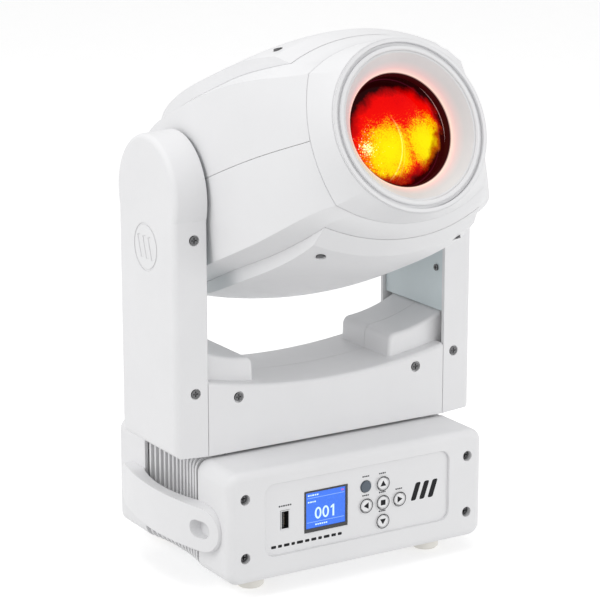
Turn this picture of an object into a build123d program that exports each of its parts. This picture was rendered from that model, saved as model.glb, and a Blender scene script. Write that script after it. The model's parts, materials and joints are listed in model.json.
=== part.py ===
from build123d import *
import math
import os

# Moving head light standing on its base. Millimetres, +Z up, front towards -Y.
# Origin: the pan axis where it meets the surface under the rubber feet.

# ---------------------------------------------------------------- driving sizes
base_half_width = 113.0
base_half_depth = 87.5
base_bottom = 12.0
base_top = 98.5
base_corner = 10.0
base_rim = 6.0
cap_depth = 45.5
wall = 3.0
cap_face_wall = 5.0
cap_inner = base_half_depth - cap_depth

recess_half_width = 82.0
recess_low = 30.0
recess_high = 86.0
recess_depth = 2.0
recess_floor = -base_half_depth + recess_depth

screw_x = 98.9
screw_low = 32.8
screw_high = 78.2

foot_x = 79.3
foot_y = 59.9
foot_radius = 10.3

tray_low = base_bottom + wall
tray_high = tray_low + 2.5
tray_half_width = 99.8
bracket_x = 60.0
bracket_y = 30.0
bracket_hole = 5.5

lcd_left = -47.0
lcd_right = -9.5
lcd_low = 42.2
lcd_high = 74.2

usb_x = -64.1
usb_z = 56.2
usb_half_width = 3.7
usb_half_height = 7.3

button_x = 21.9
button_z = 54.3
button_pitch = 15.0
button_radius = 4.5
button_gap = 0.35

rib_count = 13
rib_pitch = 6.0
rib_thickness = 2.6
rib_root = 88.0
web_x = 100.0

handle_low = 34.0
handle_high = 68.0
handle_half_length = 77.0
handle_reach = 129.0

pan_bearing_outer = 40.0
spindle_radius = 34.0
spindle_bore = 28.0
spindle_flange = 37.0
chassis_low = 104.3
chassis_high = 107.3
running_gap = 0.05
body_gap = 0.35
fixed_pulley_radius = 26.0
pan_pinion_radius = 8.0
pan_pinion_x = 82.0
pan_belt_low = 108.0
pan_belt_high = 118.0
belt_thickness = 1.5

yoke_bottom = 100.6
yoke_half_depth = 44.5
arm_inner = 105.1
cover_gap = 0.4
arm_outer = 131.3
beam_middle_top = 146.0
beam_end_top = 157.7
block_x = 60.0
block_end = 109.5
block_half_depth = 34.0
tilt_height = 292.3
arm_radius = 46.5
arm_draft = 3.0
emblem_radius = 18.0
emblem_height = 254.0
plate_inner = 107.6
plate_outer = 109.6
upright_inner = 110.0
upright_outer = 113.0
seam = 0.15

hub_shaft_radius = 15.0
hub_boss_radius = 24.0
tilt_pulley_radius = 30.0
tilt_pinion_radius = 9.0
tilt_pinion_height = 140.0
tilt_pulley_near = 119.5
tilt_pulley_far = 126.0

rest_pitch = 22.6
head_wall = 3.0
collar_seam = 144.5
lip_front = 163.5
lip_radius = 62.5
groove_radius = 59.8
groove_depth = 2.5
ring_radius = 57.2
ring_inner = 54.0
lens_opening = 40.0
panel_front = 115.0
panel_foot = 132.0

# Head cross-sections, rear to front. forward: distance ahead of the tilt axis.
# side: half width at the seam. edge: where the side panel ends. band: where the
# chamfer band ends and the crowned top starts. crown: height in the middle.
# bulge: how far the side panel swells beyond a straight line.
head_sections = [
    # forward, side, edge_x, edge_v, band_x, band_v, crown, bulge
    (-112, 62, 57, 36, 46, 43, 50, 1.5),
    (-95, 78, 73, 46, 60, 53, 62, 1.5),
    (-65, 92, 88, 53, 71, 61, 71, 1.2),
    (-30, 100, 97, 57, 79, 65, 76, 1),
    (10, 102, 99.5, 58.5, 82, 65.5, 78, 1),
    (45, 102, 99, 58.4, 79.5, 65.5, 78, 1),
    (80, 98.5, 95.2, 57.2, 75.5, 64.8, 78, 1),
    (110, 90.5, 87.5, 53.6, 69.5, 61.5, 77, 1),
    (131, 79.5, 75.8, 49.2, 65.5, 58, 74, 1.2),
    (144.5, 72.3, 62.4, 47.1, 48.8, 55, 66, 2.4),
]
# Raised centre panels, rear to front: half width, wall height, crown height.
panel_sections = [
    # forward, half_width, wall_v, crown
    (-103, 52, 53, 60),
    (-90, 59, 61, 69),
    (-65, 70.5, 69.5, 79),
    (-30, 78.5, 74, 86),
    (10, 81.5, 75.5, 89),
    (45, 79.2, 75.5, 89),
    (80, 75.2, 74.2, 88.5),
    (100, 71.3, 71.3, 86.5),
    (115, 68.4, 68, 83.4),
]


# ---------------------------------------------------------------- small helpers
def block(x0, x1, y0, y1, z0, z1):
    middle = Pos((x0 + x1) / 2, (y0 + y1) / 2, (z0 + z1) / 2)
    return middle * Box(x1 - x0, y1 - y0, z1 - z0)


def rod(axis, radius, start, end, centre=(0, 0)):
    """A cylinder along an axis. centre gives the other two coordinates in order."""
    middle = (start + end) / 2
    turns = {"x": Rot(0, 90, 0), "y": Rot(90, 0, 0), "z": Rot(0, 0, 0)}
    places = {
        "x": (middle, centre[0], centre[1]),
        "y": (centre[0], middle, centre[1]),
        "z": (centre[0], centre[1], middle),
    }
    return Pos(*places[axis]) * turns[axis] * Cylinder(radius, end - start)


def ring(axis, outer, inner, start, end, centre=(0, 0)):
    return rod(axis, outer, start, end, centre) - rod(axis, inner, start - 1, end + 1, centre)


def along_y(face_sketch, y0, y1):
    """Extrudes a sketch drawn in x and z from y0 to y1."""
    return Pos(0, y1, 0) * extrude(Rot(90, 0, 0) * face_sketch, amount=y1 - y0, dir=(0, -1, 0))


def along_x(face_sketch, x0, x1, taper=0.0):
    """Extrudes a sketch drawn in y and z from x0 to x1."""
    plane = Plane(origin=(x0, 0, 0), x_dir=(0, 1, 0), z_dir=(1, 0, 0))
    return extrude(plane * face_sketch, amount=x1 - x0, taper=taper)


def mirrored_x(shape):
    return mirror(shape, about=Plane.YZ)


def mirrored_y(shape):
    return mirror(shape, about=Plane.XZ)


def cross_screw(radius, head, length):
    """A cross-head screw along +Z: its head's top is at z = 0 and its shank goes down."""
    shape = Pos(0, 0, -head / 2) * Cylinder(radius, head)
    shape += Pos(0, 0, -head - length / 2) * Cylinder(radius * 0.5, length)
    slot = Box(radius * 1.3, radius * 0.3, head)
    return shape - slot - Rot(0, 0, 90) * slot


def head_place(shape):
    """Turns a head part, drawn level and facing -Y about the origin, to where it stands."""
    return Pos(0, 0, tilt_height) * Rot(-rest_pitch, 0, 0) * shape


def save(name, shape, place=None):
    """Writes one node. A list becomes a group of separate solids."""
    pieces = shape if isinstance(shape, list) else [shape]
    if place is not None:
        pieces = [place(piece) for piece in pieces]
    solids = [solid for piece in pieces for solid in piece.solids()]
    whole = solids[0] if len(solids) == 1 else Compound(children=solids)
    export_step(whole, f"parts/{name}.step")


# ---------------------------------------------------------------- base shells
def cap_shell():
    """The moulded cap at the front of the base: rounded box, open at the back."""
    body = block(-base_half_width, base_half_width, -base_half_depth, -cap_inner, base_bottom, base_top)
    body = fillet(body.edges().filter_by(Axis.Y), base_corner)
    body = fillet(body.faces().sort_by(Axis.Y)[0].edges(), base_rim)
    cavity = block(
        -base_half_width + wall,
        base_half_width - wall,
        -base_half_depth + cap_face_wall,
        -cap_inner + 1,
        base_bottom + wall,
        base_top - wall,
    )
    body -= fillet(cavity.edges().filter_by(Axis.Y), base_corner - wall)
    for x, z in cap_screw_places():
        body += rod("y", 6.5, -base_half_depth + 4, -base_half_depth + 14, (x, z))
        body -= rod("y", 4.0, -base_half_depth - 1, -base_half_depth + 6, (x, z))
        body -= rod("y", 2.0, -base_half_depth, -base_half_depth + 15, (x, z))
    return body


def cap_screw_places():
    return [(x, z) for x in (-screw_x, screw_x) for z in (screw_low, screw_high)]


def button_places():
    """Button name to its place on the front: a cross of four round one, and one above left."""
    return {
        "mode": (button_x - button_pitch, button_z + button_pitch),
        "up": (button_x, button_z + button_pitch),
        "left": (button_x - button_pitch, button_z),
        "enter": (button_x, button_z),
        "right": (button_x + button_pitch, button_z),
        "down": (button_x, button_z - button_pitch),
    }


def base_front_cap():
    body = cap_shell()
    recess = RectangleRounded(2 * recess_half_width, recess_high - recess_low, 8)
    recess = Pos(0, (recess_low + recess_high) / 2, 0) * recess
    body -= along_y(recess, -base_half_depth - 1, recess_floor)
    deep = -base_half_depth - 1
    through = -base_half_depth + cap_face_wall + 1
    body -= block(lcd_left - 0.2, lcd_right + 0.2, deep, through, lcd_low - 0.2, lcd_high + 0.2)
    body -= block(
        usb_x - usb_half_width - 0.2,
        usb_x + usb_half_width + 0.2,
        deep,
        through,
        usb_z - usb_half_height - 0.2,
        usb_z + usb_half_height + 0.2,
    )
    for place in button_places().values():
        body -= rod("y", button_radius + button_gap, deep, through, place)
    return body


power_places = [(-84.0, 56.0), (-52.0, 56.0)]
data_places = [(-18.0, 56.0), (12.0, 56.0), (42.0, 56.0), (72.0, 56.0)]
fuse_place = (-68.0, 33.0)
power_radius = 13.0
data_radius = 12.0
fuse_radius = 6.0


def base_rear_cap():
    body = mirrored_y(cap_shell())
    near = base_half_depth - cap_face_wall - 1
    far = base_half_depth + 1
    for place in power_places:
        body -= rod("y", power_radius, near, far, place)
    for place in data_places:
        body -= rod("y", data_radius, near, far, place)
    body -= rod("y", fuse_radius, near, far, fuse_place)
    return body


def base_tray():
    """Bottom plate with four holes for quarter-turn bracket studs."""
    body = block(-tray_half_width, tray_half_width, -82, 82, tray_low, tray_high)
    body = fillet(body.edges().filter_by(Axis.Z), 8)
    for x in (-bracket_x, bracket_x):
        for y in (-bracket_y, bracket_y):
            body -= rod("z", bracket_hole, tray_low - 1, tray_high + 1, (x, y))
    return body


def base_deck():
    """Steel deck between the caps, on two walls joined by a bridge under the pan axis."""
    edge = rib_root - 0.2
    body = block(-edge, edge, -cap_inner, cap_inner, base_top - wall, base_top)
    for x in (-edge, edge - 2):
        body += block(x, x + 2, -cap_inner, cap_inner, tray_high, base_top - wall)
    body += block(-edge, edge, -16, 16, 60, 63)
    body -= rod("z", pan_bearing_outer, base_top - 5, base_top + 1)
    return body


def rib_reach(y):
    """How far a cooling rib reaches sideways: the ribs form a shallow concave bow."""
    bow = 5.0
    return base_half_width - bow * (1 - (y / cap_inner) ** 2)


def side_grille():
    """Left side of the base: a web with cooling ribs that turn over on to the top."""
    web = block(-web_x - 2, -web_x, -cap_inner, cap_inner, base_bottom, base_top - 6)
    web += block(-web_x - 2, -rib_root, -cap_inner, cap_inner, base_top - 6, base_top - 4.5)
    for i in range(rib_count):
        y = (i - (rib_count - 1) / 2) * rib_pitch
        reach = rib_reach(y)
        rib = block(-reach, -rib_root, y - rib_thickness / 2, y + rib_thickness / 2, base_bottom, base_top)
        outer = rib.faces().sort_by(Axis.X)[0]
        rib = fillet(outer.edges().filter_by(Axis.Y), base_corner)
        rib -= block(-web_x, -rib_root + 1, y - 5, y + 5, base_bottom - 1, base_top - 6)
        web += rib
    return web


def handle():
    """Left carrying handle: a bowed strap with rounded ends lying on both caps."""
    side = -base_half_width
    end = handle_half_length
    grip = 44.0
    outline = [
        ThreePointArc((side - 2.5, -end), (-handle_reach, 0), (side - 2.5, end)),
        Line((side - 2.5, end), (side, end)),
        Line((side, end), (side, grip)),
        ThreePointArc((side, grip), (side - 8, 0), (side, -grip)),
        Line((side, -grip), (side, -end)),
        Line((side, -end), (side - 2.5, -end)),
    ]
    strap = extrude(make_face(outline), amount=handle_high - handle_low)
    strap = Pos(0, 0, handle_low) * strap
    height = handle_high - handle_low
    profile = Pos(0, (handle_low + handle_high) / 2, 0) * SlotOverall(2 * end, height)
    strap = strap & along_x(profile, -handle_reach - 2, side + 1)
    pocket = Pos(-58, (handle_low + handle_high) / 2, 0) * SlotOverall(20, 13)
    return strap - along_x(pocket, -handle_reach - 2, side - 1.5)


def rubber_feet():
    feet = []
    for x in (-foot_x, foot_x):
        for y in (-foot_y, foot_y):
            foot = rod("z", foot_radius, 0, base_bottom, (x, y))
            foot = chamfer(foot.edges().sort_by(Axis.Z)[0], 1.5)
            feet.append(foot)
    return feet


def base_screws():
    screws = []
    for x, z in cap_screw_places():
        screw = Pos(x, -base_half_depth + 3.5, z) * Rot(90, 0, 0) * cross_screw(3.3, 2.4, 6)
        screws += [screw, mirrored_y(screw)]
    return screws


# ---------------------------------------------------------------- base fittings
def lcd_bezel():
    frame = block(lcd_left, lcd_right, -86.0, -83.5, lcd_low, lcd_high)
    return frame - block(lcd_left + 1, lcd_right - 2, -87, -83, lcd_low + 3, lcd_high - 1)


def lcd_screen():
    return block(lcd_left + 1.05, lcd_right - 2.05, -85.7, -83.5, lcd_low + 3.05, lcd_high - 1.05)


def usb_port():
    half_w = usb_half_width
    half_h = usb_half_height
    shell = block(usb_x - half_w, usb_x + half_w, -85.8, -78.2, usb_z - half_h, usb_z + half_h)
    shell -= block(
        usb_x - half_w + 0.6, usb_x + half_w - 0.6, -87, -79, usb_z - half_h + 0.6, usb_z + half_h - 0.6
    )
    tongue = block(usb_x - 2.2, usb_x - 0.2, -84.5, -79, usb_z - 5.5, usb_z + 5.5)
    return [shell, tongue]


def button(place):
    """A round cap through the front wall, with a flange behind it that keeps it in."""
    x, z = place
    cap = rod("y", button_radius, -86.8, -81.5, place)
    cap = fillet(cap.edges().sort_by(Axis.Y)[0], 0.8)
    return cap + Pos(x, -81.6, z) * Rot(90, 0, 0) * Cylinder(5.8, 1.0)


def circuit_boards():
    """The display board with a switch behind each button, and the main board."""
    display = block(-74, 46, -78, -76.4, 31, 85)
    for x, z in button_places().values():
        display += block(x - 3, x + 3, -79.8, -78, z - 3, z + 3)
    display += block(lcd_left + 3, lcd_right - 3, -82.5, -78, lcd_low + 3, lcd_high - 3)
    main = block(20, 84, -38, 38, 24, 25.6)
    main += block(30, 44, -30, -16, 25.6, 29)
    main += block(52, 70, -8, 12, 25.6, 28)
    main += block(26, 36, 14, 34, 25.6, 36)
    return [display, main]


def socket(place, radius, core, pins):
    """A round chassis socket in the rear cap: a flanged cup, open to the back, with pins."""
    x, z = place
    face = base_half_depth
    cup = ring("y", radius - 0.2, core, face - 22, face + 0.5, place)
    cup += rod("y", radius - 0.2, face - 24, face - 20, place)
    cup += ring("y", radius + 2.5, core, face, face + 1.5, place)
    for i in range(pins):
        turn = math.radians(90 + i * 360 / pins)
        spot = (x + core * 0.5 * math.cos(turn), z + core * 0.5 * math.sin(turn))
        cup += rod("y", 1.2, face - 21, face - 11, spot)
    return cup


def power_sockets():
    return [socket(place, power_radius, 10.5, 3) for place in power_places] + [fuse_holder()]


def fuse_holder():
    body = rod("y", fuse_radius - 0.2, base_half_depth - 28, base_half_depth + 1, fuse_place)
    body += rod("y", fuse_radius + 1.5, base_half_depth, base_half_depth + 4, fuse_place)
    x, z = fuse_place
    return body - block(x - 5, x + 5, base_half_depth + 3, base_half_depth + 5, z - 0.8, z + 0.8)


def data_sockets():
    sizes = [3, 3, 5, 5]
    return [socket(place, data_radius, 9.0, pins) for place, pins in zip(data_places, sizes)]


def power_supply():
    """Closed supply unit on the tray, with cooling slots along its top."""
    body = block(-84, -4, -38, 38, tray_high, 56)
    for i in range(9):
        x = -76 + i * 8
        body -= block(x, x + 3, -28, 28, 54, 57)
    return body


def pan_bearing():
    """Fixed race of the pan bearing, sitting in the deck."""
    race = ring("z", pan_bearing_outer, spindle_radius + running_gap, 90, base_top)
    return race


def pan_fixed_pulley():
    """Toothed pulley that stands still on a post through the pan axis."""
    body = rod("z", 14, 63, pan_belt_high + 1)
    body += rod("z", 22, 63, 66)
    body += rod("z", fixed_pulley_radius, pan_belt_low, pan_belt_high)
    body += rod("z", fixed_pulley_radius + 3, pan_belt_low - 1.5, pan_belt_low)
    for i in range(40):
        turn = Rot(0, 0, i * 9)
        notch = Pos(fixed_pulley_radius, 0, (pan_belt_low + pan_belt_high) / 2) * Box(1.6, 1.6, 9)
        body -= turn * notch
    return body


# ---------------------------------------------------------------- yoke
def beam_sketch(inset, extra):
    """Front outline of the crossbeam: flat below, hollowed by a long arc above."""
    end = arm_inner - cover_gap + extra
    low = yoke_bottom - extra
    rise = beam_end_top - beam_middle_top
    end_top = beam_middle_top + rise * (end / arm_inner) ** 2 - inset
    outline = [
        Line((-end, low), (end, low)),
        Line((end, low), (end, end_top)),
        ThreePointArc((end, end_top), (0, beam_middle_top - inset), (-end, end_top)),
        Line((-end, end_top), (-end, low)),
    ]
    return make_face(outline)


def block_sketch(inset, extra):
    """Front outline of the right corner block, which rises towards the arm."""
    near = block_x + inset
    end = block_end + extra
    outline = [
        Line((near, 140), (end, 140)),
        Line((end, 140), (end, 181 - inset)),
        ThreePointArc((end, 181 - inset), (88, 172.5 - inset), (near + 7, 168.5 - inset)),
        ThreePointArc((near + 7, 168.5 - inset), (near + 2.6, 166.4 - inset), (near + 0.8, 162 - inset)),
        Line((near + 0.8, 162 - inset), (near, 140)),
    ]
    return make_face(outline)


def yoke_cover_front():
    """Front half of the crossbeam cover with its two corner blocks, open below and at its ends."""
    beam = along_y(beam_sketch(0, 0), -yoke_half_depth, -seam)
    front_edges = beam.faces().sort_by(Axis.Y)[0].edges()
    beam = fillet(front_edges.sort_by(Axis.Z)[-1], 3)
    corner = along_y(block_sketch(0, 0), -block_half_depth, -seam)
    rounded = [edge for edge in corner.faces().sort_by(Axis.Y)[0].edges() if edge.center().X < block_end - 1]
    corner = fillet([edge for edge in rounded if edge.center().Z > 141], 3)
    body = beam + corner + mirrored_x(corner)
    body -= along_y(beam_sketch(wall, 2), -yoke_half_depth + wall, 1)
    hollow = along_y(block_sketch(wall, 2), -block_half_depth + wall, 1)
    body -= hollow
    body -= mirrored_x(hollow)
    for x in (-79, 79):
        body -= rod("y", 4.2, -yoke_half_depth - 1, -yoke_half_depth + 1.4, (x, 142.5))
        body -= rod("y", 1.8, -yoke_half_depth - 1, -yoke_half_depth + 4, (x, 142.5))
    return body


def arm_sketch(inset):
    """Side outline of an arm: straight sides under a round top about the tilt axis."""
    half = yoke_half_depth - inset
    low = yoke_bottom + inset
    straight = Pos(0, (low + tilt_height) / 2, 0) * Rectangle(2 * half, tilt_height - low)
    return straight + Pos(0, tilt_height, 0) * Circle(arm_radius - inset)


def emblem_sketch():
    """Plain decorative mark of the arm: a ring with three slanted bars in it."""
    mark = Circle(emblem_radius) - Circle(emblem_radius - 1.4)
    for offset in (-8, 0, 8):
        mark += Pos(offset, 0, 0) * Rot(0, 0, -18) * Rectangle(4, 17)
    return Pos(0, emblem_height, 0) * mark


def arm_cover():
    """Right arm cover: a drafted shell, open towards the head, with the mark sunk in its face."""
    body = along_x(arm_sketch(0), arm_inner, arm_outer, arm_draft)
    body = fillet(body.faces().sort_by(Axis.X)[-1].edges(), 4.5)
    body -= along_x(emblem_sketch(), arm_outer - 0.4, arm_outer + 1)
    body -= along_x(arm_sketch(3.2), arm_inner - 1, arm_outer - 2.8, arm_draft)
    for y, z in arm_screw_places():
        side = math.copysign(1, y)
        inner = y - side * 1.4
        outer = y + side * 3
        body -= rod("y", 4.0, min(inner, outer), max(inner, outer), (115, z))
        deep = y - side * 6
        body -= rod("y", 1.8, min(deep, outer), max(deep, outer), (115, z))
    return body


def arm_screw_places():
    draft = math.tan(math.radians(arm_draft)) * (115 - arm_inner)
    half = yoke_half_depth - draft
    return [(side * half, z) for side in (-1, 1) for z in (150, 265.2)]


def arm_inner_plate():
    """Right inner plate of the arm, between the corner block and the round top."""
    sketch = arm_sketch(4.2)
    body = along_x(sketch, plate_inner, plate_outer)
    body -= block(plate_inner - 1, plate_outer + 1, -60, 60, yoke_bottom - 1, 181.6)
    body -= rod("x", hub_shaft_radius + 2, plate_inner - 1, plate_outer + 1, (0, tilt_height))
    for y in (-30, 30):
        body -= rod("x", 1.6, plate_inner - 1, plate_outer + 1, (y, 215))
    return body


def yoke_chassis():
    """Folded metal frame: a floor plate and two uprights that carry the tilt bearings."""
    half = 35.0
    body = block(-upright_outer, upright_outer, -half, half, chassis_low, chassis_high)
    for side in (-1, 1):
        near = min(side * upright_inner, side * upright_outer)
        far = max(side * upright_inner, side * upright_outer)
        body += block(near, far, -half, half, chassis_low, tilt_height)
        body += rod("x", half, near, far, (0, tilt_height))
        body -= rod("x", 21, near - 1, far + 1, (0, tilt_height))
        body -= rod("x", 18, near - 1, far + 1, (0, 215))
    body -= rod("z", 30, chassis_low - 1, chassis_high + 1)
    body -= rod("x", 5, -upright_outer - 1, -upright_inner + 1, (0, tilt_pinion_height))
    return body


def tilt_bearings():
    inner = hub_shaft_radius + running_gap
    right = ring("x", 21, inner, upright_inner, 118, (0, tilt_height))
    return [right, mirrored_x(right)]


def yoke_screws():
    screws = []
    for x in (-79, 79):
        screw = Pos(x, -yoke_half_depth + 0.2, 142.5) * Rot(90, 0, 0) * cross_screw(3.3, 1.2, 4)
        screws += [screw, mirrored_y(screw)]
    for y, z in arm_screw_places():
        turn = 90 if y < 0 else -90
        side = math.copysign(1, y)
        screw = Pos(115, y - side * 0.2, z) * Rot(turn, 0, 0) * cross_screw(3.3, 1.2, 4)
        screws += [screw, mirrored_x(screw)]
    for y in (-30, 30):
        screw = Pos(plate_inner - 1.2, y, 215) * Rot(0, -90, 0) * cross_screw(2.6, 1.2, 2)
        screws += [screw, mirrored_x(screw)]
    return screws


def pan_spindle():
    """Hollow spindle under the yoke, running in the pan bearing."""
    body = ring("z", spindle_radius, spindle_bore, 90, chassis_low)
    return body + ring("z", spindle_flange, spindle_bore, base_top + 0.6, chassis_low)


def pan_motor():
    """Step motor in the right corner block, shaft side down."""
    x = pan_pinion_x
    low = pan_belt_high + 3
    body = block(x - 18, x + 18, -18, 18, low, low + 34)
    body = chamfer(body.edges().filter_by(Axis.Z), 3)
    return body + rod("z", 11, low - 1.5, low, (x, 0))


def pan_motor_pinion():
    x = pan_pinion_x
    body = rod("z", pan_pinion_radius, pan_belt_low, pan_belt_high, (x, 0))
    body += rod("z", 2.5, pan_belt_low - 0.4, pan_belt_high + 1.2, (x, 0))
    for i in range(12):
        notch = Pos(pan_pinion_radius, 0, (pan_belt_low + pan_belt_high) / 2) * Box(1.4, 1.6, 9)
        body -= Pos(x, 0, 0) * Rot(0, 0, i * 30) * notch
    return body


def belt_loop(big, small, distance):
    """Flat outline of a belt round two pulleys: the big one at 0, the small one along x."""
    def hull(grow):
        lean = math.asin((big - small) / distance)
        top_x = math.sin(lean)
        top_y = math.cos(lean)
        first = big + grow
        second = small + grow
        a = (first * top_x, first * top_y)
        b = (distance + second * top_x, second * top_y)
        outline = [
            Line(a, b),
            ThreePointArc(b, (distance + second, 0), (b[0], -b[1])),
            Line((b[0], -b[1]), (a[0], -a[1])),
            ThreePointArc((a[0], -a[1]), (-first, 0), a),
        ]
        return make_face(outline)

    return hull(body_gap + belt_thickness) - hull(body_gap)


def pan_belt():
    loop = belt_loop(fixed_pulley_radius, pan_pinion_radius, pan_pinion_x)
    return Pos(0, 0, pan_belt_low + 0.5) * extrude(loop, amount=pan_belt_high - pan_belt_low - 1)


def tilt_motor():
    """Step motor in the left corner block, shaft towards the arm."""
    z = tilt_pinion_height
    body = block(-101, -67, -18, 18, z - 18, z + 18)
    body = chamfer(body.edges().filter_by(Axis.X), 3)
    return body + rod("x", 11, -102.5, -101, (0, z))


def tilt_motor_pinion():
    z = tilt_pinion_height
    body = rod("x", tilt_pinion_radius, -tilt_pulley_far, -tilt_pulley_near, (0, z))
    body += rod("x", 2.5, -tilt_pulley_far, -102.8, (0, z))
    for i in range(12):
        notch = Pos(-(tilt_pulley_far + tilt_pulley_near) / 2, 0, tilt_pinion_radius) * Box(5.5, 1.6, 1.4)
        body -= Pos(0, 0, z) * Rot(i * 30, 0, 0) * notch
    return body


def tilt_belt():
    """Belt in the left arm, from the big pulley on the tilt axis down to the motor."""
    loop = belt_loop(tilt_pulley_radius, tilt_pinion_radius, tilt_height - tilt_pinion_height)
    width = tilt_pulley_far - tilt_pulley_near - 1
    plane = Plane(origin=(-tilt_pulley_far + 0.5, 0, tilt_height), x_dir=(0, 0, -1), z_dir=(1, 0, 0))
    return extrude(plane * loop, amount=width)


# ---------------------------------------------------------------- head shells
def point(x, forward, v):
    return (x, -forward, v)


def body_edges(section, inset, up=1, low=0.0):
    """Outline of half the head at one station. up is 1 for the upper half, -1 for the lower."""
    forward, side, edge_x, edge_v, band_x, band_v, crown, bulge = section
    side = side - inset
    edge = (edge_x - inset, edge_v - inset * 0.5)
    band = (band_x - inset * 0.4, band_v - inset)
    swell = ((side + edge[0]) / 2 + bulge, edge[1] / 2)
    edges = []
    for hand in (1, -1):
        start = point(hand * side, forward, up * low)
        middle = point(hand * swell[0], forward, up * swell[1])
        corner = point(hand * edge[0], forward, up * edge[1])
        shoulder = point(hand * band[0], forward, up * band[1])
        edges += [ThreePointArc(start, middle, corner), Line(corner, shoulder)]
    left = point(-band[0], forward, up * band[1])
    right = point(band[0], forward, up * band[1])
    edges.append(ThreePointArc(right, point(0, forward, up * (crown - inset)), left))
    return edges


def half_section(section):
    """C-shaped face of the upper shell at one station."""
    outer = body_edges(section, 0, 1, seam)
    inner = body_edges(section, head_wall, 1, seam)
    forward, side = section[0], section[1]
    joins = [
        Line(point(side, forward, seam), point(side - head_wall, forward, seam)),
        Line(point(-side, forward, seam), point(-side + head_wall, forward, seam)),
    ]
    return Face(Wire(outer + inner + joins))


def whole_section(section, inset=0.0, move=0.0):
    forward = section[0] + move
    placed = (forward, *section[1:])
    return Face(Wire(body_edges(placed, inset, 1) + body_edges(placed, inset, -1)))


def head_solid():
    """The closed head, a touch larger than the shells, to fit the raised panels on."""
    return loft([whole_section(section, -0.05) for section in head_sections])


def head_shell_upper():
    body = loft([half_section(section) for section in head_sections])
    body -= rod("x", hub_boss_radius + 0.4, -110, 110)
    return body


def panel_wire(section, inset, low):
    forward, half_width, wall_v, crown = section
    half = half_width - inset
    top = wall_v - inset * 0.6
    high = crown - inset
    return [
        Line(point(half, forward, low), point(half, forward, top)),
        ThreePointArc(point(half, forward, top), point(0, forward, high), point(-half, forward, top)),
        Line(point(-half, forward, top), point(-half, forward, low)),
        Line(point(-half, forward, low), point(half, forward, low)),
    ]


def head_top_panel(solid):
    """Raised centre panel on the upper shell, with a sloping wall at its front."""
    low = 20.0
    outer = loft([Face(Wire(panel_wire(s, 0, low))) for s in panel_sections])
    foot = (panel_foot, 65.0, 57.0, 73.2)
    front = [panel_wire(panel_sections[-1], 0, low), panel_wire(foot, 0, low)]
    outer += loft([Face(Wire(w)) for w in front], ruled=True)
    inner = loft([Face(Wire(panel_wire(s, head_wall, low - 1))) for s in panel_sections])
    inner = inner & block(-100, 100, -panel_front + head_wall, 95, 0, 120)
    body = outer - inner - solid
    for x, forward in panel_screw_places():
        body += ring("z", 6.5, 3.6, 66, 80, (x, -forward)) & (outer - solid)
        body -= rod("z", 3.6, 69, 95, (x, -forward))
    return body


def panel_screw_places():
    return [(x, forward) for x in (-58, 58) for forward in (-45, 104)]


def head_screws():
    screws = []
    for x, forward in panel_screw_places():
        screw = Pos(x, -forward, 76) * cross_screw(3.3, 2.0, 1.2)
        screws += [screw, mirror(screw, about=Plane.XY)]
    return screws


def circle_wire(forward, radius):
    """A circle cut at the same six places as a whole head section."""
    angles = [0, 42, 52, 128, 138, 180, 222, 232, 308, 318, 360]

    def at(angle):
        turn = math.radians(angle)
        return point(radius * math.cos(turn), forward, radius * math.sin(turn))

    arcs = []
    for start, end in zip(angles, angles[1:]):
        arcs.append(ThreePointArc(at(start), at((start + end) / 2), at(end)))
    return arcs


def front_collar():
    """Blends the six-sided head into the round lip round the lens."""
    start = whole_section(head_sections[-1], 0, 0.3)
    middle = Face(Wire(circle_wire(lip_front - 1.5, lip_radius + 0.6)))
    outer = loft([start, middle], ruled=True)
    outer += rod("y", lip_radius, -lip_front, -lip_front + 2)
    bore = rod("y", groove_radius, -lip_front - 1, -150)
    cavity_start = whole_section(head_sections[-1], head_wall, -1.0)
    cavity = loft([cavity_start, Face(Wire(circle_wire(152, groove_radius - 1)))], ruled=True)
    return outer - bore - cavity


def turned(profile):
    """Turns an outline of (radius, forward) points about the lens axis."""
    face = make_face(Polyline(*profile, close=True))
    standing = Plane(origin=(0, 0, 0), x_dir=(1, 0, 0), z_dir=(0, 0, 1)) * mirror(face, about=Plane.XZ)
    return revolve(standing, Axis.Y, 360)


def lens_ring():
    """White ring in the lip, with a foot that seats in the collar and leaves a groove."""
    front = lip_front
    return turned(
        [
            (ring_inner, front - 9),
            (ring_inner, front - 0.6),
            (ring_inner + 0.6, front),
            (ring_radius - 0.6, front),
            (ring_radius, front - 0.6),
            (ring_radius, front - groove_depth),
            (groove_radius - 0.1, front - groove_depth),
            (groove_radius - 0.1, front - 9),
        ]
    )


def lens_dish():
    """Conical dish from the ring down to the lens, with the tube that holds the lens."""
    front = lip_front
    return turned(
        [
            (ring_inner - 0.1, front - 1.2),
            (ring_inner - 0.1, front - 9),
            (49, front - 18),
            (47, front - 19),
            (47, 128),
            (44.1, 128),
            (44.1, front - 20),
            (lens_opening, front - 20),
            (lens_opening, front - 16),
            (lens_opening + 1.2, front - 14.5),
            (ring_inner - 1.6, front - 1.2),
        ]
    )


def front_lens():
    """Convex front lens, held in the dish's tube."""
    radius = 44.0
    back = 131.0
    top = 143.0
    dome = 164.0
    return rod("y", radius, -top, -back) & Pos(0, -top + dome, 0) * Sphere(dome)


def head_rear_grille():
    """Rear cap of the head, with air slots in front of the fan."""
    rear = head_sections[0]
    small = (-119, 52, 48, 28, 38, 34, 40, 1.5)
    body = loft([whole_section(rear, 0, -0.2), whole_section(small)], ruled=True)
    inner_small = (-116.5, 49, 45, 25, 35, 31, 37, 1.5)
    body -= loft([whole_section(rear, head_wall, 1), whole_section(inner_small)], ruled=True)
    for i in range(7):
        v = -27 + i * 9
        half = 40 if abs(v) < 20 else 32
        body -= block(-half, half, 100, 125, v - 2.2, v + 2.2)
    return body


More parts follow.
